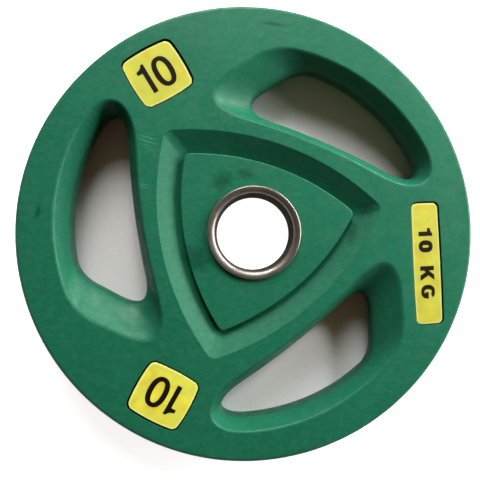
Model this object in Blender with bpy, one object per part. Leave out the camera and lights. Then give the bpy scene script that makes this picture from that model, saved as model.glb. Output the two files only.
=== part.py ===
# A ten kilogram urethane weight plate with three grip openings, lying on its back.
# Metres, +Z up. The origin is on the bore's axis, in the plane of the back face.

import math

import bmesh
import bpy
from mathutils import Matrix, Vector

# Plate body
plate_radius = 0.1470
thickness = 0.0364
rim_round = 0.0026
edge_round = 0.0026
edge_slope = 55.0
cover_wall = 0.0030
core_step = 0.0018
fit_gap = 0.0003

# Hub pad, a raised triangle with bowed sides, and the sloping recess around it
triangle_angle = 131.35
pad_radius = 0.0675
pad_bow = 0.0113
pad_corner = 0.0033
pad_drop = 0.0026
pad_edge_round = 0.0008
slope_width = 0.0183
slope_bow = 0.0166
slope_corner = 0.0042
groove_depth = 0.0080
groove_floor = 0.0007
recess_edge_round = 0.0016

# Grip openings: sharp corners as a distance from the rim or from the recess, and an angle
# from the opening's own direction, with the bow of each side and the reach of each corner
opening_angle = 180.0
tip_inset = 0.0168
tip_angle = -56.4
shoulder_inset = 0.02515
shoulder_angle = 24.4
heel_web = 0.0087
heel_angle = 60.15
outer_bow = 0.0298
inner_bow = -0.0119
tip_reach = 0.0559
shoulder_reach = 0.0141
heel_reach = 0.0437

# The narrow waist inside each opening, as steps in from the corners of the front edge. The
# chamfer would meet it at the chamfer's depth, and eases into it from above to below there.
chamfer_depth = 0.0125
waist_ease_above = 0.0030
waist_ease_below = 0.0022
waist_tip_step = 0.0050
waist_tip_angle = -48.8
waist_shoulder_step = 0.0041
waist_shoulder_angle = 13.25
waist_heel_step = 0.0098
waist_heel_angle = 40.55
waist_outer_bow = 0.0158
waist_inner_bow = -0.0054
waist_tip_reach = 0.0358
waist_shoulder_reach = 0.0121
waist_heel_reach = 0.0284
opening_pull = 0.62

# Steel hub parts
bore_radius = 0.0254
sleeve_wall = 0.0031
sleeve_end_wall = 0.0014
collar_radius = 0.0306
collar_skirt = 0.0030
collar_drop = 0.0002
collar_lip = 0.0002
collar_crown_inset = 0.0011

# Yellow number badges and the long side label, each in a shallow pocket. A seat says how far
# a badge lies outward and clockwise in its pocket, as a share of the gap.
badge_radial = 0.0314
badge_tangential = 0.0327
badge_bow = 0.0012
badge_corner = 0.0032
badge_rim_inset = 0.0292
badge_gap = 0.0011
badge_angles = {"number_badge_upper": 121.3, "number_badge_lower": 240.8}
badge_seats = {"number_badge_upper": (0.0, -0.85), "number_badge_lower": (-0.10, 0.0)}
label_radial = 0.0178
label_tangential = 0.0800
label_bow = 0.0004
label_corner = 0.0030
label_rim_inset = 0.0300
label_gap = 0.0007
label_angle = -10.0
label_lean = 12.5
label_seat = (-0.45, 0.50)
badge_thickness = 0.0010
badge_sink = 0.0005
badge_edge_round = 0.0004

# Numbers of steps in the faceted forms
rim_steps = 96
hub_steps = 48
round_steps = 3
small_round_steps = 2
crown_steps = 2
roll_steps = 5
side_steps = 8
corner_steps = 6
small_corner_steps = 3
badge_side_steps = 4
circle_pull = 0.5523
overrun = 0.0020
skim = 0.00002

# Colour, roughness and metallic value of each finish
green_urethane = ((0.026, 0.180, 0.100), 0.42, 0.0)
yellow_urethane = ((0.760, 0.680, 0.045), 0.45, 0.0)
cast_iron = ((0.060, 0.060, 0.062), 0.75, 0.9)
brushed_steel = ((0.330, 0.290, 0.250), 0.32, 1.0)


def clear_scene():
    for old in list(bpy.data.objects):
        bpy.data.objects.remove(old, do_unlink=True)


def make_material(name, finish):
    colour, roughness, metallic = finish
    material = bpy.data.materials.new(name)
    material.use_nodes = True
    shader = material.node_tree.nodes["Principled BSDF"]
    shader.inputs["Base Color"].default_value = (*colour, 1.0)
    shader.inputs["Roughness"].default_value = roughness
    shader.inputs["Metallic"].default_value = metallic
    material.diffuse_color = (*colour, 1.0)
    return material


# Outlines in the plane of the plate

def polar(radius, degrees):
    angle = math.radians(degrees)
    return Vector((radius * math.cos(angle), radius * math.sin(angle)))


def circle_outline(radius, steps):
    return [polar(radius, 360.0 * step / steps) for step in range(steps)]


def bowed_side(start, end, bow, first, last, steps):
    # Points on the arc from start to end that stands out by bow, between two shares of its length
    chord = end - start
    shares = [first + (last - first) * step / steps for step in range(steps + 1)]
    if not bow:
        return [start + chord * share for share in shares]
    outward = Vector((chord.y, -chord.x)).normalized()
    radius = (chord.length_squared / 4.0 + bow * bow) / (2.0 * bow)
    centre = (start + end) / 2.0 - outward * (radius - bow)
    sweep = 2.0 * math.asin(chord.length / (2.0 * radius))
    arm = start - centre
    points = []
    for share in shares:
        turn = Matrix.Rotation(sweep * share, 2)
        points.append(centre + turn @ arm)
    return points


def rounded_outline(corners, bows, reaches, pull, side_count, corner_count):
    # A closed outline, counterclockwise: bowed sides, joined at each corner by a smooth curve
    # that starts and ends one reach away from the sharp corner. A straight side is one step.
    sides = []
    for index, corner in enumerate(corners):
        following = (index + 1) % len(corners)
        length = (corners[following] - corner).length
        first = reaches[index] / length
        last = 1.0 - reaches[following] / length
        count = side_count if bows[index] else 1
        sides.append(bowed_side(corner, corners[following], bows[index], first, last, count))
    outline = []
    for index, side in enumerate(sides):
        outline.extend(side)
        following = (index + 1) % len(sides)
        handle = reaches[following] * pull
        start = side[-1]
        end = sides[following][0]
        start_handle = start + (side[-1] - side[-2]).normalized() * handle
        end_handle = end - (sides[following][1] - end).normalized() * handle
        for step in range(1, corner_count + 1):
            share = step / (corner_count + 1)
            rest = 1.0 - share
            point = start * rest ** 3 + start_handle * 3.0 * rest ** 2 * share
            point += end_handle * 3.0 * rest * share ** 2 + end * share ** 3
            outline.append(point)
    return outline


def grown(outline, distance):
    # The outline moved outward by a distance, along the normal at each point
    points = []
    for index, point in enumerate(outline):
        along = outline[(index + 1) % len(outline)] - outline[index - 1]
        outward = Vector((along.y, -along.x)).normalized()
        points.append(point + outward * distance)
    return points


def placed(outline, degrees, centre=Vector((0.0, 0.0))):
    turn = Matrix.Rotation(math.radians(degrees), 2)
    return [centre + turn @ point for point in outline]


def at_height(outline, height):
    return [Vector((point.x, point.y, height)) for point in outline]


# Solids made from rows of points

def add_loft(mesh, rows, ring=False):
    # Rows of equal length joined one to the next, capped at both ends or closed into a ring.
    # Every four-sided facet is split along the same diagonal, so that two lofts stay parallel.
    loops = [[mesh.verts.new(point) for point in row] for row in rows]
    pairs = list(zip(loops, loops[1:]))
    if ring:
        pairs.append((loops[-1], loops[0]))
    for lower, upper in pairs:
        for index in range(len(lower)):
            following = (index + 1) % len(lower)
            mesh.faces.new((lower[index], lower[following], upper[following]))
            mesh.faces.new((lower[index], upper[following], upper[index]))
    if not ring:
        mesh.faces.new(reversed(loops[0]))
        mesh.faces.new(loops[-1])


def make_solid(name, lofts, material=None, ring=False):
    mesh = bmesh.new()
    for rows in lofts:
        add_loft(mesh, rows, ring)
    bmesh.ops.recalc_face_normals(mesh, faces=mesh.faces)
    data = bpy.data.meshes.new(name)
    mesh.to_mesh(data)
    mesh.free()
    data.shade_smooth()
    data.set_sharp_from_angle(angle=math.radians(30.0))
    solid = bpy.data.objects.new(name, data)
    bpy.context.scene.collection.objects.link(solid)
    if material:
        data.materials.append(material)
    return solid


def make_cutter(name, lofts):
    cutter = make_solid(name, lofts)
    cutter.hide_render = True
    cutter.display_type = "WIRE"
    return cutter


def cut(target, cutter):
    modifier = target.modifiers.new(cutter.name, "BOOLEAN")
    modifier.operation = "DIFFERENCE"
    modifier.solver = "EXACT"
    modifier.object = cutter


def turned_solid(name, profile, steps, material):
    rows = [at_height(circle_outline(radius, steps), height) for radius, height in profile]
    return make_solid(name, [rows], material, ring=True)


def quarter_arc(centre_radius, centre_height, radius, start, steps):
    # Profile points on a quarter circle, counterclockwise from the start angle in degrees
    points = []
    for step in range(steps + 1):
        angle = math.radians(start + 90.0 * step / steps)
        points.append((centre_radius + radius * math.cos(angle), centre_height + radius * math.sin(angle)))
    return points


# Grip openings

def opening_outlines():
    outer = plate_radius
    web = pad_radius + slope_width
    front_corners = [
        polar(outer - tip_inset, tip_angle),
        polar(outer - shoulder_inset, shoulder_angle),
        polar(web + heel_web, heel_angle),
    ]
    waist_corners = [
        polar(outer - tip_inset - waist_tip_step, waist_tip_angle),
        polar(outer - shoulder_inset - waist_shoulder_step, waist_shoulder_angle),
        polar(web + heel_web - waist_heel_step, waist_heel_angle),
    ]
    front = rounded_outline(
        front_corners,
        [outer_bow, 0.0, inner_bow],
        [tip_reach, shoulder_reach, heel_reach],
        opening_pull,
        side_steps,
        corner_steps,
    )
    waist = rounded_outline(
        waist_corners,
        [waist_outer_bow, 0.0, waist_inner_bow],
        [waist_tip_reach, waist_shoulder_reach, waist_heel_reach],
        opening_pull,
        side_steps,
        corner_steps,
    )
    return front, waist


def edge_rows(radius, slope, steps):
    # Depth below the face, and growth beyond the chamfer, along a rounded edge. The first row
    # stands a hair above the face, so that no row lies in it.
    if radius <= 0.0:
        return [(-skim, 0.0)]
    rows = []
    for step in range(steps + 1):
        angle = slope * step / steps
        depth = radius * (1.0 - math.cos(angle)) - skim
        across = radius * math.sin(angle) - radius * math.tan(slope / 2.0)
        rows.append((depth, depth / math.tan(slope) - across))
    return rows


def rounded_corner(radius):
    # Steps inward and upward along a quarter circle, from a wall to the flat above it
    steps = []
    for step in range(small_round_steps + 1):
        angle = math.pi / 2.0 * step / small_round_steps
        steps.append((radius * (1.0 - math.cos(angle)), radius * math.sin(angle)))
    return steps


def opening_rows(wall, gap, rounding):
    # Rows of points down one opening: rounded edge, chamfer, waist, and the same mirrored.
    # The wall and the gap move the whole form outward for the core's clearance.
    front, waist = opening_outlines()
    half = edge_rows(rounding, math.radians(edge_slope), small_round_steps)
    if rounding > 0.0:
        half += [(chamfer_depth - waist_ease_above, 0.0), (chamfer_depth + waist_ease_below, 0.0)]
    else:
        half.append((chamfer_depth, 0.0))
    rows = []
    for depth, growth in half:
        share = min(depth / chamfer_depth, 1.0)
        outline = [front[index].lerp(waist[index], share) for index in range(len(front))]
        rows.append((depth, grown(outline, growth + wall - gap)))
    upper = [(thickness - depth, outline) for depth, outline in rows]
    lower = [(depth, outline) for depth, outline in reversed(rows)]
    top = [(thickness + overrun, rows[0][1])]
    bottom = [(-overrun, rows[0][1])]
    levels = top + upper + lower + bottom
    return levels


def opening_lofts(wall=0.0, gap=0.0, rounding=0.0):
    lofts = []
    for copy in range(3):
        degrees = opening_angle + 120.0 * copy
        rows = [at_height(placed(outline, degrees), height)
                for height, outline in opening_rows(wall, gap, rounding)]
        lofts.append(rows)
    return lofts


# Triangular hub recess

def triangle_outline(radius, bow, corner):
    corners = [polar(radius, triangle_angle + 120.0 * copy) for copy in range(3)]
    return rounded_outline(corners, [bow] * 3, [corner] * 3, circle_pull, side_steps, small_corner_steps)


def mirrored_rows(rows):
    return [[Vector((point.x, point.y, thickness - point.z)) for point in row] for row in rows]


def both_faces(levels):
    rows = [at_height(outline, thickness - depth) for depth, outline in levels]
    return [rows, mirrored_rows(rows)]


def recess_lofts():
    # A rounded brim, the slope from it to a groove, and the pad that rises out of the groove
    brim = triangle_outline(pad_radius + slope_width, slope_bow, slope_corner)
    pad = triangle_outline(pad_radius, pad_bow, pad_corner)
    foot = grown(pad, groove_floor)
    slope = math.atan2(groove_depth, slope_width)
    levels = []
    for depth, growth in edge_rows(recess_edge_round, slope, small_round_steps):
        share = depth / groove_depth
        outline = [brim[index].lerp(foot[index], share) for index in range(len(brim))]
        levels.append((depth, grown(outline, growth)))
    levels.insert(0, (-overrun, levels[0][1]))
    levels += [(groove_depth, foot), (groove_depth, pad)]
    for sideways, upward in rounded_corner(pad_edge_round):
        levels.append((pad_drop + pad_edge_round - upward, grown(pad, -sideways)))
    return both_faces(levels)


def core_recess_lofts(gap):
    # The same slope and pad, one wall deeper and one wall inside the pad's edge
    brim = triangle_outline(pad_radius + slope_width, slope_bow, slope_corner)
    pad = triangle_outline(pad_radius, pad_bow, pad_corner)
    wide = grown(brim, core_step - gap)
    island = grown(pad, gap - cover_wall)
    floor = groove_depth + cover_wall - gap
    levels = [
        (-overrun, wide),
        (cover_wall - gap - skim, wide),
        (floor, grown(pad, -gap)),
        (floor, island),
        (pad_drop + cover_wall - gap, island),
    ]
    return both_faces(levels)


# Badges and label

def badge_outline(radial, tangential, bow, corner):
    corners = [
        Vector((radial / 2.0, tangential / 2.0)),
        Vector((-radial / 2.0, tangential / 2.0)),
        Vector((-radial / 2.0, -tangential / 2.0)),
        Vector((radial / 2.0, -tangential / 2.0)),
    ]
    return rounded_outline(corners, [bow] * 4, [corner] * 4, circle_pull, badge_side_steps, small_corner_steps)


def badge_forms():
    # The outline of each badge in its place, its first axis along the radius, and its pocket's
    forms = {}
    square = badge_outline(badge_radial, badge_tangential, badge_bow, badge_corner)
    for name, degrees in badge_angles.items():
        centre = polar(plate_radius - badge_rim_inset, degrees)
        forms[name] = seated_forms(square, degrees, centre, badge_gap, badge_seats[name])
    long_shape = badge_outline(label_radial, label_tangential, label_bow, label_corner)
    centre = polar(plate_radius - label_rim_inset, label_angle)
    turn = label_angle + label_lean
    forms["side_label"] = seated_forms(long_shape, turn, centre, label_gap, label_seat)
    return forms


def seated_forms(outline, degrees, centre, gap, seat):
    outward, clockwise = seat
    shift = Matrix.Rotation(math.radians(degrees), 2) @ Vector((outward * gap, -clockwise * gap))
    return placed(outline, degrees, centre + shift), placed(grown(outline, gap), degrees, centre)


def make_badges(material):
    bottom = thickness - badge_sink - badge_thickness
    for name, (outline, _) in badge_forms().items():
        rows = [at_height(outline, bottom)]
        for sideways, upward in rounded_corner(badge_edge_round):
            height = bottom + badge_thickness - badge_edge_round + upward
            rows.append(at_height(grown(outline, -sideways), height))
        make_solid(name, [rows], material)


def pocket_lofts():
    floor = thickness - badge_sink - badge_thickness - fit_gap
    lofts = []
    for _, pocket in badge_forms().values():
        lofts.append([at_height(pocket, floor), at_height(pocket, thickness + overrun)])
    return lofts


# Cover and core

def disc_rows(radius, bottom, top, rounding):
    profile = []
    if rounding > 0.0:
        profile += quarter_arc(radius - rounding, bottom + rounding, rounding, -90.0, round_steps)
        profile += quarter_arc(radius - rounding, top - rounding, rounding, 0.0, round_steps)
    else:
        profile = [(radius, bottom), (radius, top)]
    return [at_height(circle_outline(reach, rim_steps), height) for reach, height in profile]


def bore_rows(radius):
    return [at_height(circle_outline(radius, hub_steps), height) for height in (-overrun, thickness + overrun)]


def core_form(name, gap, material=None):
    # The core at gap zero, and the room for it inside the cover when the gap is open
    rows = disc_rows(
        plate_radius - cover_wall + gap,
        cover_wall - gap,
        thickness - cover_wall + gap,
        0.0,
    )
    solid = make_solid(name, [rows], material)
    cut(solid, make_cutter(name + "_openings", opening_lofts(cover_wall, gap)))
    cut(solid, make_cutter(name + "_recesses", core_recess_lofts(gap)))
    return solid


def hub_hole_radius():
    return bore_radius + sleeve_wall + fit_gap


def make_core(material):
    core = core_form("iron_core", 0.0, material)
    cut(core, make_cutter("core_bore", [bore_rows(hub_hole_radius())]))


def make_cover(material):
    cover = make_solid("urethane_cover", [disc_rows(plate_radius, 0.0, thickness, rim_round)], material)
    room = core_form("core_room", fit_gap)
    room.hide_render = True
    room.display_type = "WIRE"
    cut(cover, room)
    cut(cover, make_cutter("grip_openings", opening_lofts(rounding=edge_round)))
    cut(cover, make_cutter("hub_recesses", recess_lofts()))
    cut(cover, make_cutter("badge_pockets", pocket_lofts()))
    cut(cover, make_cutter("cover_bore", [bore_rows(hub_hole_radius())]))


# Steel hub

def make_sleeve(material):
    # A tube whose ends are turned down, so that the skirt of each collar slips over them
    outer = bore_radius + sleeve_wall
    end = bore_radius + sleeve_end_wall
    low = pad_drop
    shoulder = low + collar_skirt + fit_gap
    profile = [
        (bore_radius, low),
        (end, low),
        (end, shoulder),
        (outer, shoulder),
        (outer, thickness - shoulder),
        (end, thickness - shoulder),
        (end, thickness - low),
        (bore_radius, thickness - low),
    ]
    turned_solid("hub_sleeve", profile, hub_steps, material)


def collar_profile():
    # The front collar's section: a bead on the pad, with its crown near the outer edge and a
    # face that rolls down into the bore, and a skirt down around the sleeve
    seat = thickness - pad_drop + fit_gap
    height = thickness - collar_drop - seat
    inner = bore_radius + collar_lip
    crown = collar_radius - collar_crown_inset
    skirt_inner = bore_radius + sleeve_end_wall + fit_gap
    skirt_outer = bore_radius + sleeve_wall
    foot = thickness - pad_drop - collar_skirt
    profile = [(skirt_outer, foot), (skirt_outer, seat)]
    for step in range(crown_steps):
        angle = math.pi / 2.0 * step / crown_steps
        profile.append((crown + collar_crown_inset * math.cos(angle), seat + height * math.sin(angle)))
    for step in range(roll_steps + 1):
        angle = math.pi / 2.0 * step / roll_steps
        profile.append((crown - (crown - inner) * math.sin(angle), seat + height * math.cos(angle)))
    profile += [(skirt_inner, seat), (skirt_inner, foot)]
    return profile


def make_collars(material):
    front = collar_profile()
    back = [(radius, thickness - height) for radius, height in reversed(front)]
    turned_solid("front_collar", front, hub_steps, material)
    turned_solid("back_collar", back, hub_steps, material)


def main():
    clear_scene()
    green = make_material("green_urethane", green_urethane)
    yellow = make_material("yellow_urethane", yellow_urethane)
    iron = make_material("cast_iron", cast_iron)
    steel = make_material("brushed_steel", brushed_steel)
    make_cover(green)
    make_core(iron)
    make_sleeve(steel)
    make_collars(steel)
    make_badges(yellow)


main()
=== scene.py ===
# Green urethane weight plate with three grip openings: finishes, numbers, light and camera
import math

import bmesh
import bpy
from mathutils import Matrix, Vector


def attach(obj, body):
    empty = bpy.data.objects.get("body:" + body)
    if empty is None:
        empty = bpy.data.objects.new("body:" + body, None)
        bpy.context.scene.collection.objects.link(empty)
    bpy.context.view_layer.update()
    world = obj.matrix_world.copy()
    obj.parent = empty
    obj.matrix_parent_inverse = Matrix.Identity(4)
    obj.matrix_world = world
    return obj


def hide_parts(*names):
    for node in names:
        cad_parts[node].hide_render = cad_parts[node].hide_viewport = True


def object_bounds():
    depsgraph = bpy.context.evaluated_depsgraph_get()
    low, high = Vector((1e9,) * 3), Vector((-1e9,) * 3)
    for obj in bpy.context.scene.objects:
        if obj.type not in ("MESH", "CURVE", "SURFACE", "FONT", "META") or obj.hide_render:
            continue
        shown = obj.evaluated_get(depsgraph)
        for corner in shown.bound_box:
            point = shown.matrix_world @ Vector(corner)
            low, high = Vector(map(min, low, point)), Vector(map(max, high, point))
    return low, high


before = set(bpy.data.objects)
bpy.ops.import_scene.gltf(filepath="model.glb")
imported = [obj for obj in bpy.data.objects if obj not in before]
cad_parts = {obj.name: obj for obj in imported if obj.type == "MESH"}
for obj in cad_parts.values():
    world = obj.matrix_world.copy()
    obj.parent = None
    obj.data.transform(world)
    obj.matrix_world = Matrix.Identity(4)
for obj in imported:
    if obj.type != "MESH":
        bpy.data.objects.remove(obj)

cadLow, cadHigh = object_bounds()
plateRadius = cadHigh.x
plateThickness = cadHigh.z
print("frame loaded: radius", round(plateRadius, 4), "thickness", round(plateThickness, 4))


# Small tools for outlines in the plane of the plate

def polar(radius, degrees):
    angle = math.radians(degrees)
    return Vector((radius * math.cos(angle), radius * math.sin(angle)))


def circleOutline(radius, steps):
    return [polar(radius, 360.0 * step / steps) for step in range(steps)]


def quarterTurn(steps):
    return [math.pi / 2.0 * step / steps for step in range(steps + 1)]


def curved(start, pull, end, share):
    # a point or a number on the way from start to end, drawn towards pull
    rest = 1.0 - share
    return start * rest ** 2 + pull * 2.0 * rest * share + end * share ** 2


def bowedSide(start, end, bow, first, last, steps):
    chord = end - start
    shares = [first + (last - first) * step / steps for step in range(steps + 1)]
    if not bow:
        return [start + chord * share for share in shares]
    outward = Vector((chord.y, -chord.x)).normalized()
    radius = (chord.length_squared / 4.0 + bow * bow) / (2.0 * bow)
    centre = (start + end) / 2.0 - outward * (radius - bow)
    sweep = 2.0 * math.asin(chord.length / (2.0 * radius))
    return [centre + Matrix.Rotation(sweep * share, 2) @ (start - centre) for share in shares]


def roundedOutline(corners, bows, reaches, shape):
    # bowed sides joined at each corner by a smooth curve that starts one reach from it
    sides = []
    for index, corner in enumerate(corners):
        following = (index + 1) % len(corners)
        length = (corners[following] - corner).length
        first = reaches[index] / length
        last = 1.0 - reaches[following] / length
        sides.append(bowedSide(corner, corners[following], bows[index], first, last, shape["sideSteps"]))
    outline = []
    for index, side in enumerate(sides):
        outline.extend(side)
        following = (index + 1) % len(sides)
        handle = reaches[following] * shape["pull"]
        start, end = side[-1], sides[following][0]
        startHandle = start + (side[-1] - side[-2]).normalized() * handle
        endHandle = end - (sides[following][1] - end).normalized() * handle
        for step in range(1, shape["cornerSteps"] + 1):
            share = step / (shape["cornerSteps"] + 1)
            rest = 1.0 - share
            point = start * rest ** 3 + startHandle * 3.0 * rest ** 2 * share
            outline.append(point + endHandle * 3.0 * rest * share ** 2 + end * share ** 3)
    return outline


def grown(outline, distance):
    points = []
    for index, point in enumerate(outline):
        along = outline[(index + 1) % len(outline)] - outline[index - 1]
        points.append(point + Vector((along.y, -along.x)).normalized() * distance)
    return points


def placed(outline, degrees, centre=Vector((0.0, 0.0))):
    turn = Matrix.Rotation(math.radians(degrees), 2)
    return [centre + turn @ point for point in outline]


# Small tools for meshes

meshShading = {"sharpAngle": 35.0, "faceWeight": 60}


def addRow(mesh, outline, height):
    return [mesh.verts.new((point.x, point.y, height)) for point in outline]


def addWall(mesh, rows):
    for upper, lower in zip(rows, rows[1:]):
        for index in range(len(upper)):
            following = (index + 1) % len(upper)
            mesh.faces.new((upper[index], upper[following], lower[following], lower[index]))


def addRows(mesh, levels):
    # a wall through levels of (height, outline)
    rows = [addRow(mesh, outline, height) for height, outline in levels]
    addWall(mesh, rows)
    return rows


def fillFlat(mesh, loops):
    # one flat face with holes, between closed loops that lie in the same plane
    edges = []
    for loop in loops:
        for index, corner in enumerate(loop):
            following = loop[(index + 1) % len(loop)]
            edges.append(mesh.edges.get((corner, following)) or mesh.edges.new((corner, following)))
    bmesh.ops.triangle_fill(mesh, use_beauty=True, edges=edges, normal=(0.0, 0.0, 1.0))


def finishMesh(name, mesh, material):
    bmesh.ops.recalc_face_normals(mesh, faces=mesh.faces)
    data = bpy.data.meshes.new(name)
    mesh.to_mesh(data)
    mesh.free()
    data.shade_smooth()
    data.set_sharp_from_angle(angle=math.radians(meshShading["sharpAngle"]))
    data.materials.append(material)
    piece = bpy.data.objects.new(name, data)
    bpy.context.scene.collection.objects.link(piece)
    weighted = piece.modifiers.new("flat faces stay flat", "WEIGHTED_NORMAL")
    weighted.keep_sharp = True
    weighted.weight = meshShading["faceWeight"]
    return piece


def arcRows(radius, slope, steps):
    # depth below a face and growth beyond a wall of this slope, along the rounded edge between
    rows = []
    for step in range(steps + 1):
        angle = slope * step / steps
        depth = radius * (1.0 - math.cos(angle))
        across = radius * math.sin(angle) - radius * math.tan(slope / 2.0)
        rows.append((depth, depth / math.tan(slope) - across))
    return rows


def softEdge(outline, top, bead, steps):
    # levels up the wall of a raised piece and over its rounded edge
    return [(top - bead + bead * math.sin(turn), grown(outline, bead * math.cos(turn) - bead))
            for turn in quarterTurn(steps)]


def flipped(levels):
    # the same levels, measured from the back face
    return [(plateThickness - height, outline) for height, outline in levels]


# Small tools for materials

def addNode(tree, kind, inputs=None, **settings):
    node = tree.nodes.new(kind)
    for key, value in settings.items():
        setattr(node, key, value)
    for key, value in (inputs or {}).items():
        if isinstance(value, bpy.types.NodeSocket):
            tree.links.new(value, node.inputs[key])
        else:
            node.inputs[key].default_value = value
    return node


def objectPlace(tree):
    return addNode(tree, "ShaderNodeTexCoord").outputs["Object"]


def lengthOf(tree, vector):
    return addNode(tree, "ShaderNodeVectorMath", {0: vector}, operation="LENGTH").outputs["Value"]


def meshMask(tree, name):
    return addNode(tree, "ShaderNodeAttribute", attribute_name=name).outputs["Fac"]


def ranged(tree, value, start, end, low=0.0, high=1.0):
    # low where the value is at start, high where it is at end, and no further on either side
    return addNode(tree, "ShaderNodeMapRange", {
        "Value": value, "From Min": start, "From Max": end, "To Min": low, "To Max": high,
    }, clamp=True).outputs[0]


def product(tree, first, second):
    return addNode(tree, "ShaderNodeMath", {0: first, 1: second}, operation="MULTIPLY").outputs[0]


def largest(tree, masks):
    total = masks[0]
    for mask in masks[1:]:
        total = addNode(tree, "ShaderNodeMath", {0: total, 1: mask}, operation="MAXIMUM").outputs[0]
    return total


def mixed(tree, factor, first, second):
    return addNode(tree, "ShaderNodeMix", {0: factor, 6: first, 7: second}, data_type="RGBA").outputs[2]


def colour(values):
    return (*values, 1.0)


def noiseMask(tree, place, scale, low, high, detail, stretch=None, distortion=0.0):
    # a noise that goes from 0 at low to 1 at high
    if stretch:
        place = addNode(tree, "ShaderNodeMapping", {"Vector": place, "Scale": stretch}).outputs[0]
    noise = addNode(tree, "ShaderNodeTexNoise", {
        "Vector": place, "Scale": scale, "Detail": detail, "Distortion": distortion})
    return ranged(tree, noise.outputs["Fac"], low, high)


def noiseMasks(tree, finish):
    place = objectPlace(tree)
    return {name: noiseMask(tree, place, **noise) for name, noise in finish["noises"].items()}


def layered(tree, finish, masks):
    # each layer lays its colour over the ones before it where its mask is strong
    tone = colour(finish["base"])
    for mask, layer, strength in finish["layers"]:
        tone = mixed(tree, product(tree, masks[mask], strength), tone, colour(finish[layer]))
    return tone


def newFinish(finish):
    material = bpy.data.materials.new(finish["name"])
    material.use_nodes = True
    tree = material.node_tree
    inputs = tree.nodes["Principled BSDF"].inputs
    inputs["Metallic"].default_value = finish["metallic"]
    inputs["Specular IOR Level"].default_value = finish["specular"]
    inputs["IOR"].default_value = finish["ior"]
    return material, tree, noiseMasks(tree, finish)


def dressShader(tree, finish, masks, tone):
    # the colour, a roughness that follows one mask, and bumps one on top of the other
    inputs = tree.nodes["Principled BSDF"].inputs
    tree.links.new(tone, inputs["Base Color"])
    mask, least, most = finish["roughness"]
    tree.links.new(ranged(tree, masks[mask], 0.0, 1.0, least, most), inputs["Roughness"])
    below = {}
    for mask, strength, distance in finish["bumps"]:
        bump = addNode(tree, "ShaderNodeBump", {
            "Height": masks[mask], "Strength": strength, "Distance": distance, **below})
        below = {"Normal": bump.outputs[0]}
    tree.links.new(below["Normal"], inputs["Normal"])


# Finishes

# each finish: colours, values of the shader, noises, layers of (mask, colour, strength) over the
# base, roughness as (mask, least, most), and bumps of (mask, strength, height in metres)
greenFinish = {
    "name": "green_urethane_satin",
    "base": (0.0029, 0.106, 0.049),
    "deep": (0.0014, 0.072, 0.033),
    "bloom": (0.014, 0.148, 0.081),  # pale handling marks
    "haze": (0.050, 0.165, 0.105),  # a thin film of dust
    "darkSmudgeAndShade": (0.0008, 0.060, 0.029),  # dark marks; by the recess's right corner partly painted shade
    "scuff": (0.12, 0.36, 0.24),
    "paintedShade": (0.0006, 0.0060, 0.0034),  # painted shade, near black, in the pockets and on the lands of the openings
    "metallic": 0.0,
    "specular": 0.25,
    "ior": 1.50,
    "noises": {
        "clouds": {"scale": 24.0, "low": 0.35, "high": 0.68, "detail": 4.0},
        "blotches": {"scale": 110.0, "low": 0.42, "high": 0.72, "detail": 5.0, "distortion": 0.8},
        "smears": {"scale": 420.0, "low": 0.42, "high": 0.72, "detail": 4.0, "stretch": (0.55, 1.0, 1.0)},
        "grain": {"scale": 1500.0, "low": 0.30, "high": 0.75, "detail": 2.0},
        "film": {"scale": 170.0, "low": 0.50, "high": 0.80, "detail": 6.0, "distortion": 0.4},
        "pits": {"scale": 2600.0, "low": 0.25, "high": 0.80, "detail": 1.0},
        "ripple": {"scale": 120.0, "low": 0.20, "high": 0.80, "detail": 3.0},
    },
    "layers": [
        ("clouds", "deep", 0.55),
        ("blotches", "deep", 0.65),
        ("smears", "bloom", 0.55),
        ("grain", "bloom", 0.80),
        ("film", "haze", 0.15),
        ("smudgesAndShade", "darkSmudgeAndShade", 0.85),
        ("scuffs", "scuff", 0.30),
        # the last layer is painted shade on the lands and in the pockets
        ("shadeOnLandsAndPockets", "paintedShade", 1.0),
    ],
    "roughness": ("blotches", 0.38, 0.62),
    "bumps": [("pits", 0.20, 0.00012), ("ripple", 0.25, 0.00025)],
}

# marks on the front face: x, y, length and width in millimetres, lean in degrees
scuffs = [(-67.3, 58.4, 15.0, 9.0, -16.0), (-70.2, 29.2, 10.0, 6.0, -10.0), (4.0, 127.6, 8.0, 2.2, 38.0)]
# the last two, by the recess's right corner, are partly soiling, partly painted shade of its slope
smudgesAndShade = [(-21.0, 33.0, 20.0, 14.0, 20.0), (-6.0, 38.0, 16.0, 9.0, -10.0), (12.6, 135.4, 20.0, 3.4, -6.0),
           (-38.0, -17.0, 22.0, 27.0, 60.0), (-133.0, 12.0, 11.0, 4.0, 75.0), (65.0, 0.0, 22.0, 9.0, 70.0),
           (74.0, 14.0, 15.0, 10.0, 20.0)]

markShape = {
    "millimetre": 0.001,
    "depth": 0.012,  # how far above and below the face a mark fades out
    "core": 0.35,  # share of its size in which a mark is full
    "smudgeEdge": {"Scale": 300.0, "Detail": 4.0},
    "smudgeRag": 1.1,
    "scuffEdge": {"Scale": 400.0, "Detail": 3.0},
    "scuffRag": 0.5,
    "strokes": {"Scale": 0.62, "Distortion": 3.2, "Detail": 2.0, "Detail Scale": 1.1},
    "strokeLimits": (0.45, 0.95),
}


def ovalPlace(tree, place, patch):
    # coordinates that reach 1 at the edge of an oval on the front face
    x, y, length, width = [value * markShape["millimetre"] for value in patch[:4]]
    return addNode(tree, "ShaderNodeMapping", {
        "Vector": place,
        "Location": (x, y, plateThickness),
        "Rotation": (0.0, 0.0, math.radians(patch[4])),
        "Scale": (length / 2.0, width / 2.0, markShape["depth"]),
    }, vector_type="TEXTURE").outputs[0]


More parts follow.
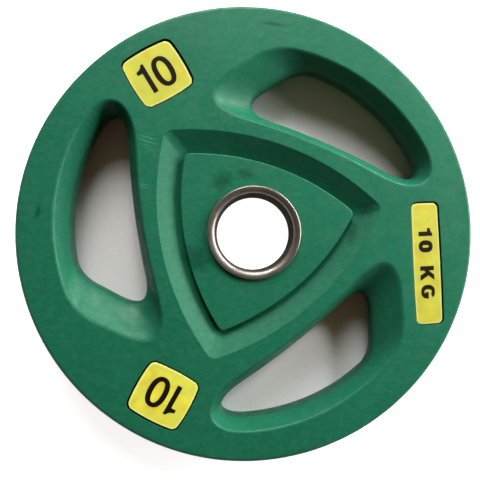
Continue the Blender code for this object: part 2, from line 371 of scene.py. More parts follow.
def softOval(tree, spot, edge, rag):
    # a noise makes the edge ragged; it lies round one half, so half the rag is its middle
    away = lengthOf(tree, spot)
    ragged = addNode(tree, "ShaderNodeMath", {0: edge, 1: rag, 2: away}, operation="MULTIPLY_ADD").outputs[0]
    return ranged(tree, ragged, 1.0 + rag / 2.0, markShape["core"] + rag / 2.0)


def smudgeMask(tree, place, patches):
    edge = addNode(tree, "ShaderNodeTexNoise", {"Vector": place, **markShape["smudgeEdge"]}).outputs["Fac"]
    masks = []
    for patch in patches:
        masks.append(softOval(tree, ovalPlace(tree, place, patch), edge, markShape["smudgeRag"]))
    return largest(tree, masks)


def scuffMask(tree, place, patches):
    # a few bent strokes side by side in each oval
    edge = addNode(tree, "ShaderNodeTexNoise", {"Vector": place, **markShape["scuffEdge"]}).outputs["Fac"]
    masks = []
    for patch in patches:
        spot = ovalPlace(tree, place, patch)
        waves = {"Vector": spot, **markShape["strokes"]}
        bands = addNode(tree, "ShaderNodeTexWave", waves, bands_direction="Y").outputs["Fac"]
        strokes = ranged(tree, bands, *markShape["strokeLimits"])
        masks.append(product(tree, strokes, softOval(tree, spot, edge, markShape["scuffRag"])))
    return largest(tree, masks)


def makeGreenUrethane(finish):
    material, tree, masks = newFinish(finish)
    place = objectPlace(tree)
    # dark marks; the two by the recess's right corner are partly painted shade
    masks["smudgesAndShade"] = smudgeMask(tree, place, smudgesAndShade)
    masks["scuffs"] = scuffMask(tree, place, scuffs)
    # painted shade on the lands and in the pockets, read from the mesh
    masks["shadeOnLandsAndPockets"] = meshMask(tree, "paintedShade")
    dressShader(tree, finish, masks, layered(tree, finish, masks))
    return material


yellowFinish = {
    "name": "yellow_urethane_satin",
    "base": (0.65, 0.61, 0.048),
    "worn": (0.50, 0.42, 0.030),
    "faded": (0.50, 0.55, 0.072),
    "rubbedAndHighlit": (0.76, 0.76, 0.24),  # the pale edge all round: partly wear from handling, partly a painted highlight
    "dust": (0.44, 0.36, 0.09),
    "metallic": 0.0,
    "specular": 0.32,
    "ior": 1.50,
    "noises": {
        "clouds": {"scale": 120.0, "low": 0.35, "high": 0.70, "detail": 4.0},
        "fading": {"scale": 75.0, "low": 0.40, "high": 0.66, "detail": 3.0, "distortion": 0.5},
        "specks": {"scale": 900.0, "low": 0.60, "high": 0.72, "detail": 2.0},
        "ripple": {"scale": 700.0, "low": 0.20, "high": 0.80, "detail": 3.0},
    },
    "layers": [
        ("clouds", "worn", 0.90),
        ("fading", "faded", 0.75),
        ("edges", "rubbedAndHighlit", 0.80),
        ("specks", "dust", 0.25),
    ],
    "roughness": ("clouds", 0.46, 0.60),
    "bumps": [("ripple", 0.20, 0.00010)],
}


def makeYellowUrethane(finish):
    # each inlay's whole tone is scaled by its own painted light and shade
    material, tree, masks = newFinish(finish)
    # the pale edge: partly wear from handling, partly a painted highlight
    masks["edges"] = meshMask(tree, "rubbedAndHighlit")
    shaded = {0: layered(tree, finish, masks), "Scale": meshMask(tree, "shade")}
    tone = addNode(tree, "ShaderNodeVectorMath", shaded, operation="SCALE").outputs["Vector"]
    dressShader(tree, finish, masks, tone)
    return material


inkFinish = {
    "name": "number_ink",
    "base": (0.0050, 0.0030, 0.0016),
    "worn": (0.018, 0.012, 0.005),
    "metallic": 0.0,
    "specular": 0.12,
    "ior": 1.50,
    "noises": {"wear": {"scale": 500.0, "low": 0.50, "high": 0.72, "detail": 4.0}},
    "layers": [("wear", "worn", 0.50)],
    "roughness": ("wear", 0.60, 0.70),
    "bumps": [("wear", 0.20, 0.00005)],
}

ironFinish = {
    "name": "cast_iron",
    "base": (0.050, 0.048, 0.046),
    "rust": (0.11, 0.055, 0.030),
    "metallic": 0.9,
    "specular": 0.50,
    "ior": 1.50,
    "noises": {
        "patches": {"scale": 60.0, "low": 0.52, "high": 0.70, "detail": 6.0},
        "casting": {"scale": 700.0, "low": 0.20, "high": 0.80, "detail": 5.0},
    },
    "layers": [("patches", "rust", 1.0)],
    "roughness": ("patches", 0.62, 0.85),
    "bumps": [("casting", 0.60, 0.00030)],
}


def makeFinish(finish):
    material, tree, masks = newFinish(finish)
    dressShader(tree, finish, masks, layered(tree, finish, masks))
    return material


collarFinish = {
    "name": "satin_collar_steel",
    "base": (0.335, 0.322, 0.282),
    "dark": (0.095, 0.084, 0.066),
    "metallic": 1.0,
    "specular": 0.15,
    "ior": 1.50,
    "noises": {"stains": {"scale": 180.0, "low": 0.45, "high": 0.75, "detail": 5.0}},
    "turned": {"scale": 4200.0, "low": 0.30, "high": 0.70, "detail": 2.0},
    "layers": [("lines", "dark", 0.35), ("stains", "dark", 0.35)],
    "roughness": ("stains", 0.37, 0.50),
    "bumps": [("lines", 0.15, 0.00004)],
}

# darkened almost to black: partly dull bored steel, partly painted shade deep in the bore
sleeveFinish = {
    **collarFinish,
    "name": "bored_sleeve_steel",
    "base": (0.050, 0.042, 0.026),
    "dark": (0.014, 0.011, 0.007),
    "metallic": 0.10,
    "specular": 0.04,
    "ior": 1.15,
    "turned": {"scale": 2600.0, "low": 0.30, "high": 0.70, "detail": 2.0},
    "roughness": ("stains", 0.66, 0.84),
}


def makeTurnedSteel(finish):
    # turned lines run round the bore, so their noise is read at radius and height only
    material, tree, masks = newFinish(finish)
    parts = addNode(tree, "ShaderNodeSeparateXYZ", {"Vector": objectPlace(tree)}).outputs
    flat = addNode(tree, "ShaderNodeCombineXYZ", {"X": parts[0], "Y": parts[1]}).outputs[0]
    section = addNode(tree, "ShaderNodeCombineXYZ", {"X": lengthOf(tree, flat), "Y": parts[2]}).outputs[0]
    masks["lines"] = noiseMask(tree, section, **finish["turned"])
    dressShader(tree, finish, masks, layered(tree, finish, masks))
    return material


greenUrethane = makeGreenUrethane(greenFinish)
yellowUrethane = makeYellowUrethane(yellowFinish)
numberInk = makeFinish(inkFinish)
collarSteel = makeTurnedSteel(collarFinish)
sleeveSteel = makeTurnedSteel(sleeveFinish)
castIron = makeFinish(ironFinish)
print("finishes made")


# The cover: one moulded skin, with the room for the core inside it

coverShape = {
    "wall": 0.0030,
    "coreStep": 0.0018,  # from the brim of a recess to the core behind it
    "gap": 0.0003,  # between the core and its room
    "rimRound": 0.0026,
    "rimSteps": 192,
    "roundSteps": 6,
    "partingDepth": 0.00010,
    "partingWidth": 0.0005,
    "holeRadius": 0.0288,
    "holeSteps": 96,
}

recessShape = {
    "angle": 131.35,
    "padRadius": 0.0675,
    "padBow": 0.0113,
    "padCorner": 0.0033,
    "padDrop": 0.0026,
    "padRound": 0.0008,
    "slopeWidth": 0.0183,
    "slopeBow": 0.0166,
    "slopeCorner": 0.0042,
    "grooveDepth": 0.0080,
    "grooveFloor": 0.0007,
    "footRise": 0.0003,  # the foot of the slope turns into the floor of the groove
    "footSpread": 0.0004,
    "footInset": 0.0002,
    "brimRound": 0.0016,
    "pull": 0.5523,
    "sideSteps": 24,
    "cornerSteps": 8,
}

# corners run tip, shoulder, heel, and a side starts at each of them
openingShape = {
    "angle": 180.0,
    "tip": (0.0168, -56.4),  # inset from the rim, and angle
    "shoulder": (0.02515, 24.4),
    "heel": (0.0087, 60.15),  # web beyond the recess, and angle
    "bows": (0.0298, 0.0, -0.0119),
    "reaches": (0.0559, 0.0141, 0.0437),
    "waistSteps": (0.0050, 0.0041, 0.0098),  # nearer the centre than in the face
    "waistAngles": (-48.8, 13.25, 40.55),
    "waistBows": (0.0158, 0.0, -0.0054),
    "waistReaches": (0.0358, 0.0121, 0.0284),
    "pull": 0.62,
    "sideSteps": 20,
    "cornerSteps": 16,
    "chamferDepth": 0.0125,
    "chamferSteps": 8,
    "easeAbove": 0.0036,
    "easeBelow": 0.0026,
    "easeSteps": 6,
    "edgeRound": 0.0026,
    "edgeSlope": 58.0,
    # painted shade on the land: how dark, and the depths where it starts and fades in
    "landShade": 0.30,
    "landShadeStart": -0.0006,
    "landShadeFade": 0.0022,
    "flashHeight": 0.00012,
    "flashWidth": 0.00048,
}

inlayShape = {
    "sink": 0.0005,
    "thickness": 0.0010,
    "edgeRound": 0.00035,
    "roundSteps": 4,
    "underGap": 0.0003,
    "pocketRound": 0.0003,
    "pocketEase": 0.3,  # share of that rounding at which its middle row lies
    "paleEdgeWidth": 0.0011,
    "pull": 0.5523,
    "sideSteps": 10,
    "cornerSteps": 6,
}

# each inlay: angle and lean, inset of its pocket's middle from the rim, radial and tangential
# size, gap all round in the pocket, how far it lies outward and clockwise of the middle, how
# far its text lies to the right and up of its own middle, and its tone's painted light and shade
inlays = {
    "upper_badge": {
        "node": "number_badge_upper", "angle": 121.3, "lean": 0.0, "inset": 0.0292,
        "radial": 0.0314, "tangential": 0.0332, "bow": 0.0012, "corner": 0.0032,
        "gap": 0.0010, "outward": -0.0002, "clockwise": -0.0005,
        "text": (-0.0001, 0.0001), "shade": 0.85,
    },
    "lower_badge": {
        "node": "number_badge_lower", "angle": 240.8, "lean": 0.0, "inset": 0.0292,
        "radial": 0.0316, "tangential": 0.0334, "bow": 0.0012, "corner": 0.0032,
        "gap": 0.0009, "outward": 0.0, "clockwise": -0.0002,
        "text": (-0.0003, -0.0001), "shade": 1.22,
    },
    "side_plaque": {
        "node": "side_label", "angle": -10.0, "lean": 12.5, "inset": 0.0300,
        "radial": 0.0178, "tangential": 0.0800, "bow": 0.0004, "corner": 0.0030,
        "gap": 0.0007, "outward": -0.0003, "clockwise": 0.00035,
        "text": (0.0, 0.0), "shade": 0.79,
    },
}


def triangleOutline(shape, radius, kind):
    corners = [polar(radius, shape["angle"] + 120.0 * copy) for copy in range(3)]
    return roundedOutline(corners, [shape[kind + "Bow"]] * 3, [shape[kind + "Corner"]] * 3, shape)


def recessOutlines(shape):
    brim = triangleOutline(shape, shape["padRadius"] + shape["slopeWidth"], "slope")
    return brim, triangleOutline(shape, shape["padRadius"], "pad")


def openingOutlines(shape):
    # the outline in the face, and the one at the waist
    web = recessShape["padRadius"] + recessShape["slopeWidth"]
    radii = (plateRadius - shape["tip"][0], plateRadius - shape["shoulder"][0], web + shape["heel"][0])
    angles = (shape["tip"][1], shape["shoulder"][1], shape["heel"][1])
    face = [polar(radius, angle) for radius, angle in zip(radii, angles)]
    waist = [polar(radius - step, angle)
             for radius, step, angle in zip(radii, shape["waistSteps"], shape["waistAngles"])]
    return (roundedOutline(face, shape["bows"], shape["reaches"], shape),
            roundedOutline(waist, shape["waistBows"], shape["waistReaches"], shape))


def openingSection(shape, inset):
    # (depth, share of the way from the face outline to the waist, growth) down to half height
    depth = shape["chamferDepth"]
    if inset:
        return [(inset, inset / depth, inset), (depth, 1.0, inset)]
    edgeRows = arcRows(shape["edgeRound"], math.radians(shape["edgeSlope"]), coverShape["roundSteps"])
    rows = [(down, down / depth, growth) for down, growth in edgeRows]
    above, below = depth - shape["easeAbove"], depth + shape["easeBelow"]
    edge = rows[-1][0]
    for step in range(1, shape["chamferSteps"]):
        down = edge + (above - edge) * step / shape["chamferSteps"]
        rows.append((down, down / depth, 0.0))
    for step in range(shape["easeSteps"] + 1):
        share = step / shape["easeSteps"]
        rows.append((curved(above, depth, below, share), curved(above / depth, 1.0, 1.0, share), 0.0))
    middle = plateThickness / 2.0
    return rows + [(middle - shape["flashWidth"] / 2.0, 1.0, 0.0), (middle, 1.0, -shape["flashHeight"])]


def openingLevels(shape, inset):
    # (height, outline) from the front face to the back face; an inset gives the room's own wall
    face, waist = openingOutlines(shape)
    levels = []
    for down, share, growth in openingSection(shape, inset):
        outline = [point.lerp(narrow, share) for point, narrow in zip(face, waist)]
        levels.append((plateThickness - down, grown(outline, growth)))
    mirrored = flipped(reversed(levels))
    return levels + (mirrored if inset else mirrored[1:])


def recessLevels(shape):
    brim, pad = recessOutlines(shape)
    foot = grown(pad, shape["grooveFloor"])
    floor = plateThickness - shape["grooveDepth"]
    slope = math.atan2(shape["grooveDepth"], shape["slopeWidth"])
    levels = []
    for down, growth in arcRows(shape["brimRound"], slope, coverShape["roundSteps"]):
        share = down / shape["grooveDepth"]
        outline = [high.lerp(deep, share) for high, deep in zip(brim, foot)]
        levels.append((plateThickness - down, grown(outline, growth)))
    levels += [(floor + shape["footRise"], grown(foot, shape["footSpread"])),
               (floor, grown(foot, -shape["footInset"])), (floor, pad)]
    top = plateThickness - shape["padDrop"]
    return levels + softEdge(pad, top, shape["padRound"], coverShape["roundSteps"])


def roomRecessLevels(shape, inset):
    brim, pad = recessOutlines(shape)
    island = grown(pad, -inset)
    floor = plateThickness - shape["grooveDepth"] - inset
    return [
        (plateThickness - inset, grown(brim, coverShape["coreStep"] - coverShape["gap"])),
        (floor, grown(pad, -coverShape["gap"])),
        (floor, island),
        (plateThickness - shape["padDrop"] - inset, island),
    ]


def inlayMiddles(inlay):
    # the middle of the pocket, and the middle of the inlay itself, which lies a little off it
    pocket = polar(plateRadius - inlay["inset"], inlay["angle"])
    off = Vector((inlay["outward"], -inlay["clockwise"]))
    return pocket, pocket + Matrix.Rotation(math.radians(inlay["angle"] + inlay["lean"]), 2) @ off


def inlayOutline(inlay, centre):
    radial, tangential = inlay["radial"] / 2.0, inlay["tangential"] / 2.0
    corners = [Vector((radial, tangential)), Vector((-radial, tangential)),
               Vector((-radial, -tangential)), Vector((radial, -tangential))]
    outline = roundedOutline(corners, [inlay["bow"]] * 4, [inlay["corner"]] * 4, inlayShape)
    return placed(outline, inlay["angle"] + inlay["lean"], centre)


def rimProfile(shape):
    # (height, radius) from the front face over the edge, past a fine parting line, to the back
    rim, middle = shape["rimRound"], plateThickness / 2.0
    profile = [(plateThickness - rim + rim * math.cos(turn), plateRadius - rim + rim * math.sin(turn))
               for turn in quarterTurn(shape["roundSteps"])]
    profile.append((middle + shape["partingWidth"] / 2.0, plateRadius))
    return profile + [(middle, plateRadius - shape["partingDepth"])] + flipped(reversed(profile))


def addOpenings(mesh, inset=0.0):
    # the rows of each opening, from the front face to the back face
    openings = []
    levels = openingLevels(openingShape, inset)
    for copy in range(3):
        turn = openingShape["angle"] + 120.0 * copy
        openings.append(addRows(mesh, [(height, placed(outline, turn)) for height, outline in levels]))
    return openings


def shadeLands(mesh, openings):
    # painted shade on the narrow land between the two chamfers of an opening
    paintedShade = mesh.verts.layers.float["paintedShade"]
    start = openingShape["chamferDepth"] + openingShape["landShadeStart"]
    for row in [row for rows in openings for row in rows]:
        depth = min(row[0].co.z, plateThickness - row[0].co.z)
        share = (depth - start) / openingShape["landShadeFade"]
        for corner in row:
            corner[paintedShade] = openingShape["landShade"] * min(max(share, 0.0), 1.0)


def addPocket(mesh, inlay):
    # its walls and its floor carry painted shade; gives the loop in the front face
    paintedShade = mesh.verts.layers.float["paintedShade"]
    floor = plateThickness - inlayShape["sink"] - inlayShape["thickness"] - inlayShape["underGap"]
    bead = inlayShape["pocketRound"]
    eased = bead * inlayShape["pocketEase"]
    outline = grown(inlayOutline(inlay, inlayMiddles(inlay)[0]), inlay["gap"])
    rows = addRows(mesh, [
        (plateThickness, grown(outline, bead)),
        (plateThickness - eased, grown(outline, eased)),
        (plateThickness - bead, outline),
        (floor, outline),
    ])
    fillFlat(mesh, [rows[-1]])
    for corner in rows[-2] + rows[-1]:
        corner[paintedShade] = 1.0
    return rows[0]


def addRoom(mesh):
    # the room for the core; gives the loops behind the front and the back pad
    inset = coverShape["wall"] - coverShape["gap"]
    wall = circleOutline(plateRadius - inset, coverShape["rimSteps"])
    rim = addRows(mesh, [(plateThickness - inset, wall), (inset, wall)])
    openings = addOpenings(mesh, inset)
    levels = roomRecessLevels(recessShape, inset)
    front, back = addRows(mesh, levels), addRows(mesh, flipped(levels))
    fillFlat(mesh, [rim[0], *[rows[0] for rows in openings], front[0]])
    fillFlat(mesh, [rim[-1], *[rows[-1] for rows in openings], back[0]])
    return front[-1], back[-1]


def makeCover():
    mesh = bmesh.new()
    # a layer for painted shade on the lands and in the pockets
    mesh.verts.layers.float.new("paintedShade")
    steps = coverShape["rimSteps"]
    rim = addRows(mesh, [(height, circleOutline(radius, steps)) for height, radius in rimProfile(coverShape)])
    openings = addOpenings(mesh)
    shadeLands(mesh, openings)
    padLevels = recessLevels(recessShape)
    front, back = addRows(mesh, padLevels), addRows(mesh, flipped(padLevels))
    pockets = [addPocket(mesh, inlay) for inlay in inlays.values()]
    fillFlat(mesh, [rim[0], *[rows[0] for rows in openings], front[0], *pockets])
    fillFlat(mesh, [rim[-1], *[rows[-1] for rows in openings], back[0]])
    # the hub hole joins each pad to the room behind it
    hub = circleOutline(coverShape["holeRadius"], coverShape["holeSteps"])
    for pad, room in zip((front[-1], back[-1]), addRoom(mesh)):
        hole = addRows(mesh, [(pad[0].co.z, hub), (room[0].co.z, hub)])
        fillFlat(mesh, [pad, hole[0]])
        fillFlat(mesh, [room, hole[1]])
    return finishMesh("green_cover", mesh, greenUrethane)


cover = makeCover()
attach(cover, "root")
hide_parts("urethane_cover")
print("cover made:", len(cover.data.polygons), "faces")


# Yellow inlays, each a thin slab with soft edges that lies in its pocket

def makeInlay(name, inlay):
    mesh = bmesh.new()
    rubbedAndHighlit = mesh.verts.layers.float.new("rubbedAndHighlit")
    outline = inlayOutline(inlay, inlayMiddles(inlay)[1])
    top = plateThickness - inlayShape["sink"]
    bead = inlayShape["edgeRound"]
    levels = [(top - inlayShape["thickness"], outline)]
    levels += softEdge(outline, top, bead, inlayShape["roundSteps"])
    levels.append((top, grown(outline, -bead - inlayShape["paleEdgeWidth"])))
    rows = addRows(mesh, levels)
    fillFlat(mesh, [rows[0]])
    fillFlat(mesh, [rows[-1]])
    # the pale edge: partly wear from handling, partly a painted highlight
    for row in rows[:-1]:
        for corner in row:
            corner[rubbedAndHighlit] = 1.0
    # painted light and shade, as a scale on the inlay's whole tone
    shade = mesh.faces.layers.float.new("shade")
    for face in mesh.faces:
        face[shade] = inlay["shade"]
    return finishMesh(name, mesh, yellowUrethane)


for inlayName, inlay in inlays.items():
    slab = makeInlay(inlayName, inlay)
    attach(slab, "root")
    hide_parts(inlay["node"])
print("inlays made")


# Numbers and letters, drawn in heights of a capital and raised a little from the inlays

numberText = {
    "height": 0.0196,
    "stroke": 0.160,
    "widths": {"1": 0.325, "0": 0.650},
    "space": 0.15,
}

plaqueText = {
    "height": 0.0095,
    "stroke": 0.310,
    "widths": {"1": 0.55, "0": 0.86, "K": 1.02, "G": 0.98},
    "space": 0.30,
}

# names that end in Strokes are in strokes, and the others of a character in its height
textShape = {
    "raise": 0.00012,
    "bevel": 0.6,  # in raises
    "root": 2.0,  # in raises, so the characters reach down into the inlay
    "wordGap": 2.2,  # in spaces
    "squareness": 2.3,
    "ovalSteps": 64,
    "zeroHeight": 1.02,
    "zeroMiddle": 0.478,
    "zeroSideStrokes": 2.16,  # both sides together
    "zeroEndStrokes": 1.80,
    "flagTop": 0.84,
    "flagStrokes": 0.68,
    "flagReachStrokes": 0.42,
    "flagPullStrokes": 0.18,
    "flagPullUp": 0.03,
    "flagSteps": 8,
    "armStrokes": 1.2,
    "armWidth": 0.98,  # in the letter's width
    "kneeWidth": 0.64,
    "ringSteps": 96,
    "ringOuter": (10, 89),  # the steps of the oval between which the G is drawn
    "ringInner": (12, 86),
    "ringEndStrokes": 1.50,
    "shelfTop": 0.53,
    "shelfStrokes": 0.75,
    "shelfWidth": 0.52,  # in the letter's width
}


def ovalLoop(centre, width, height, steps, way=1.0):
    # a squarish oval, and clockwise where the way is -1
    loop, power = [], 2.0 / textShape["squareness"]
    for step in range(steps):
        angle = math.tau * step / steps * way
        across, up = math.cos(angle), math.sin(angle)
        loop.append(centre + Vector((math.copysign(abs(across) ** power, across) * width / 2.0,
                                     math.copysign(abs(up) ** power, up) * height / 2.0)))
    return loop


def digitZero(stroke, width):
    centre, steps = Vector((width / 2.0, textShape["zeroMiddle"])), textShape["ovalSteps"]
    height = textShape["zeroHeight"]
    hollowWidth = width - textShape["zeroSideStrokes"] * stroke
    inner = ovalLoop(centre, hollowWidth, height - textShape["zeroEndStrokes"] * stroke, steps, -1.0)
    return [ovalLoop(centre, width, height, steps), inner], width


def digitOne(stroke, width):
    # a plain stem with a short flag whose upper edge is hollow
    left, flagTop, steps = width - stroke, textShape["flagTop"], textShape["flagSteps"]
    flagFoot = flagTop - textShape["flagStrokes"] * stroke
    start, end = Vector((0.0, flagTop)), Vector((left + stroke * textShape["flagReachStrokes"], 1.0))
    pull = Vector((left + stroke * textShape["flagPullStrokes"], flagTop + textShape["flagPullUp"]))
    hollow = [curved(start, pull, end, step / steps) for step in range(steps + 1)]
    loop = [Vector((0.0, flagFoot)), Vector((left, flagFoot)), Vector((left, 0.0)),
            Vector((width, 0.0)), Vector((width, 1.0))]
    return [loop + hollow[::-1]], width


def letterK(stroke, width):
    # round the letter from its lower left corner
    arm = stroke * textShape["armStrokes"]
    knee, end = width * textShape["kneeWidth"], width * textShape["armWidth"]
    points = [(0.0, 0.0), (stroke, 0.0), (stroke, 0.27), (stroke + 0.11, 0.39), (width - arm, 0.0),
              (width, 0.0), (knee, 0.58), (end, 1.0), (end - arm, 1.0),
              (stroke, 0.62), (stroke, 1.0), (0.0, 1.0)]
    return [[Vector(point) for point in points]], width


def letterG(stroke, width):
    # an open ring with a shelf that turns in at half height
    centre, steps = Vector((width / 2.0, 0.5)), textShape["ringSteps"]
    outer = ovalLoop(centre, width, 1.0, steps)[slice(*textShape["ringOuter"])]
    inner = ovalLoop(centre, width - 2.0 * stroke, 1.0 - textShape["ringEndStrokes"] * stroke, steps)
    top, reach = textShape["shelfTop"], width * textShape["shelfWidth"]
    foot = top - textShape["shelfStrokes"] * stroke
    shelf = [Vector(point) for point in ((width, top), (reach, top), (reach, foot), (width - stroke, foot))]
    return [outer + shelf + inner[slice(*textShape["ringInner"])][::-1]], width


glyphs = {"1": digitOne, "0": digitZero, "K": letterK, "G": letterG}


def makeText(name, words, inlay, look):
    # reads clockwise round the plate, with the tops of the characters outward
    loops, place = [], 0.0
    for character in words:
        if character == " ":
            place += look["space"] * textShape["wordGap"]
            continue
        shape, width = glyphs[character](look["stroke"], look["widths"][character])
        loops += [[point + Vector((place, 0.0)) for point in loop] for loop in shape]
        place += width + look["space"]
    middle = Vector(((place - look["space"]) / 2.0, 0.5))
    turn = inlay["angle"] + inlay["lean"] - 90.0
    centre = inlayMiddles(inlay)[1] + Matrix.Rotation(math.radians(turn), 2) @ Vector(inlay["text"])
    top = plateThickness - inlayShape["sink"] + textShape["raise"]
    bead, root = textShape["raise"] * textShape["bevel"], textShape["raise"] * textShape["root"]
    mesh = bmesh.new()
    uppers, lowers = [], []
    for loop in loops:
        outline = placed([(point - middle) * look["height"] for point in loop], turn, centre)
        rows = addRows(mesh, [(top, grown(outline, -bead)), (top - bead, outline), (top - root, outline)])
        uppers.append(rows[0])
        lowers.append(rows[-1])
    fillFlat(mesh, uppers)
    fillFlat(mesh, lowers)
    raised = finishMesh(name, mesh, numberInk)
    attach(raised, "root")


makeText("upper_number", "10", inlays["upper_badge"], numberText)
makeText("lower_number", "10", inlays["lower_badge"], numberText)
makeText("plaque_text", "10 KG", inlays["side_plaque"], plaqueText)
print("numbers made")


# Steel hub: a sleeve through the bore and a rolled collar on each face

hubShape = {
    "bore": 0.0254,
    "sleeveWall": 0.0031,
    "endWall": 0.0014,
    "boreChamfer": 0.0004,
    "collarRadius": 0.0306,
    "collarSkirt": 0.0030,
    "collarTop": 0.0002,
    "crownInset": 0.0011,
    "crownSteps": 8,
    "rollSteps": 12,
    "lip": 0.0002,
    "padDrop": recessShape["padDrop"],
    "gap": 0.0003,
    "steps": 160,
}


def makeTurned(name, profile, material):
    # a ring turned from a closed section of (radius, height) points
    mesh = bmesh.new()
    rows = [addRow(mesh, circleOutline(radius, hubShape["steps"]), height) for radius, height in profile]
    addWall(mesh, rows + [rows[0]])
    return finishMesh(name, mesh, material)


def makeSleeve(shape):
    bore, chamfer = shape["bore"], shape["boreChamfer"]
    outer, end = bore + shape["sleeveWall"], bore + shape["endWall"]
    low = shape["padDrop"]
    shoulder = low + shape["collarSkirt"] + shape["gap"]
    lower = [(bore, low + chamfer), (bore + chamfer, low), (end, low), (end, shoulder), (outer, shoulder)]
    upper = [(radius, plateThickness - height) for radius, height in reversed(lower)]
    return makeTurned("bore_sleeve", lower + upper, sleeveSteel)


def collarProfile(shape):
    # the crown lies near the outer edge; from there the face rolls down into the bore
    pad = plateThickness - shape["padDrop"]
    top, seat, foot = plateThickness - shape["collarTop"], pad + shape["gap"], pad - shape["collarSkirt"]
    outer, inner = shape["collarRadius"], shape["bore"] + shape["lip"]
    crown, height = outer - shape["crownInset"], top - seat
    profile = [(outer, seat)]
    for turn in quarterTurn(shape["crownSteps"])[1:-1]:
        profile.append((crown + (outer - crown) * math.cos(turn), seat + height * math.sin(turn)))
    for turn in quarterTurn(shape["rollSteps"]):
        profile.append((crown - (crown - inner) * math.sin(turn), top - height * (1.0 - math.cos(turn))))
    skirt, skirtInner = shape["bore"] + shape["sleeveWall"], shape["bore"] + shape["endWall"] + shape["gap"]
    return profile + [(skirtInner, seat), (skirtInner, foot), (skirt, foot), (skirt, seat)]


def makeHub(shape):
    front = collarProfile(shape)
    back = [(radius, plateThickness - height) for radius, height in front]
    parts = {
        "hub_sleeve": makeSleeve(shape),
        "front_collar": makeTurned("front_ring", front, collarSteel),
        "back_collar": makeTurned("back_ring", back, collarSteel),
    }
    for node, part in parts.items():
        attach(part, "root")
        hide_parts(node)


makeHub(hubShape)
print("hub made")


# The iron core keeps its own mesh, and only its finish changes

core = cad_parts["iron_core"]
core.data.materials.clear()
core.data.materials.append(castIron)


# Camera, as close as a hand-held product shot

cameraPlace = {
    "lens": 36.75,
    "sensor": 36.0,
    "shift": -0.1,
    "clip": (0.01, 30.0),
    "location": (-0.0130, -0.0101, plateThickness + 0.3154),
    "tiltX": 0.0161,
    "tiltY": -0.109,
}


def makeCamera(place):
    data = bpy.data.cameras.new("camera")
    data.lens = place["lens"]
    data.sensor_width = place["sensor"]
    data.shift_x = place["shift"]
    data.clip_start, data.clip_end = place["clip"]
    camera = bpy.data.objects.new("camera", data)
    turn = Matrix.Rotation(place["tiltX"], 4, "X") @ Matrix.Rotation(place["tiltY"], 4, "Y")
    camera.matrix_world = Matrix.Translation(place["location"]) @ turn
    bpy.context.scene.collection.objects.link(camera)
    bpy.context.scene.camera = camera


makeCamera(cameraPlace)


# Floor, lamps and world

floorFinish = {
    "base": (0.95, 0.928, 0.915),
    "soft": (0.855, 0.8352, 0.8235),
    "fibre": (0.665, 0.6496, 0.6405),
    "speck": (0.38, 0.3712, 0.366),
    "noises": {
        "paper": {"scale": 60.0, "low": 0.20, "high": 0.80, "detail": 4.0},
        "fibres": {"scale": 520.0, "low": 0.35, "high": 0.75, "detail": 3.0, "stretch": (1.0, 0.4, 1.0)},
        "specks": {"scale": 700.0, "low": 0.66, "high": 0.74, "detail": 2.0},
    },
    "layers": [("paper", "soft", 0.15), ("fibres", "fibre", 0.10), ("specks", "speck", 0.30)],
}

stageLight = {
    "floorRadius": 3.0,
    "floorSteps": 64,
    "floorDrop": 0.0001,
    "glow": (0.86, 1.0),  # near the plate, and far out
    "glowRadius": (0.3, 1.2),
    "footRadius": (0.138, 0.145),
    "boreRadius": (0.030, 0.045),
    "world": 0.084,
    "worldColour": (1.0, 0.52, 0.30),
    "backdrop": (0.20, 0.40),  # sines of the elevations between which it fades into the room
}


def makeFloor(light, finish):
    # pale floor; the glow lifts it to white where no part of the plate stands over it
    material = bpy.data.materials.new("pale_floor")
    material.use_nodes = True
    tree = material.node_tree
    tree.nodes.clear()
    radius = lengthOf(tree, objectPlace(tree))
    outside = ranged(tree, radius, *light["footRadius"])
    rising = ranged(tree, radius, *light["glowRadius"], *light["glow"])
    inside = ranged(tree, radius, *light["boreRadius"], 1.0, 0.0)
    path = addNode(tree, "ShaderNodeLightPath").outputs
    seen = largest(tree, [path["Is Camera Ray"], path["Is Glossy Ray"], path["Is Transmission Ray"]])
    strength = product(tree, largest(tree, [product(tree, outside, rising), inside]), seen)
    tone = layered(tree, finish, noiseMasks(tree, finish))
    matt = addNode(tree, "ShaderNodeBsdfDiffuse", {"Color": tone}).outputs[0]
    glow = addNode(tree, "ShaderNodeEmission", {"Strength": strength}).outputs[0]
    both = addNode(tree, "ShaderNodeAddShader", {0: matt, 1: glow}).outputs[0]
    addNode(tree, "ShaderNodeOutputMaterial", {"Surface": both})
    mesh = bmesh.new()
    bmesh.ops.create_circle(mesh, cap_ends=True, segments=light["floorSteps"], radius=light["floorRadius"])
    data = bpy.data.meshes.new("floor")
    mesh.to_mesh(data)
    mesh.free()
    data.materials.append(material)
    floor = bpy.data.objects.new("floor", data)
    floor.location.z = -light["floorDrop"]
    bpy.context.scene.collection.objects.link(floor)


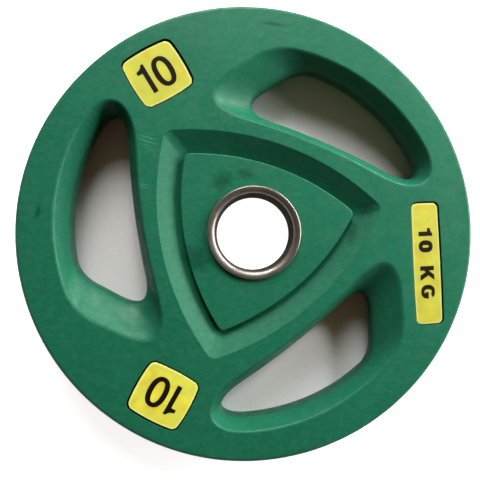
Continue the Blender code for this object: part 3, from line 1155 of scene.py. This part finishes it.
def makeWorld(light):
    # a white backdrop for the eye and for reflections near the horizon, and a dim warm room
    world = bpy.data.worlds.new("room")
    bpy.context.scene.world = world
    world.use_nodes = True
    tree = world.node_tree
    direction = addNode(tree, "ShaderNodeTexCoord").outputs["Generated"]
    height = addNode(tree, "ShaderNodeSeparateXYZ", {"Vector": direction}).outputs[2]
    backdrop = ranged(tree, height, *light["backdrop"], 1.0, 0.0)
    path = addNode(tree, "ShaderNodeLightPath").outputs
    reflected = product(tree, path["Is Glossy Ray"], backdrop)
    seen = largest(tree, [path["Is Camera Ray"], path["Is Transmission Ray"], reflected])
    room = colour([part * light["world"] for part in light["worldColour"]])
    background = tree.nodes["Background"]
    background.inputs["Strength"].default_value = 1.0
    tree.links.new(mixed(tree, seen, room, colour((1.0, 1.0, 1.0))), background.inputs["Color"])


# each lamp: azimuth from the right, elevation, distance, size, power in watts
lamps = {
    "key": (42.0, 26.0, 1.80, 0.80, 7.6),
    "keySmall": (42.0, 32.0, 0.90, 0.15, 3.6),
    "keyLow": (42.0, 14.0, 0.90, 0.45, 1.5),
    "top": (94.0, 38.0, 1.80, 0.80, 18.6),
    "topNear": (94.0, 30.0, 0.90, 0.45, 3.1),
    "topLow": (94.0, 14.0, 0.90, 0.45, 4.2),
    "side": (15.0, 22.0, 0.90, 0.45, 4.9),
    "sideLow": (0.0, 14.0, 0.90, 0.45, 4.8),
}


def makeLamp(name, azimuth, elevation, distance, size, power):
    data = bpy.data.lights.new(name, "AREA")
    data.shape = "DISK"
    data.size = size
    data.energy = power
    lamp = bpy.data.objects.new(name, data)
    flat = polar(distance * math.cos(math.radians(elevation)), azimuth)
    lamp.location = (flat.x, flat.y, distance * math.sin(math.radians(elevation)))
    lamp.rotation_euler = (-Vector(lamp.location)).to_track_quat("-Z", "Y").to_euler()
    lamp.visible_glossy = name != "topLow"  # it would only leave a glare on the flat face
    bpy.context.scene.collection.objects.link(lamp)


makeFloor(stageLight, floorFinish)
makeWorld(stageLight)
for lampName, lampPlace in lamps.items():
    makeLamp(lampName, *lampPlace)
bpy.context.scene.view_settings.view_transform = "Standard"
print("stage set")
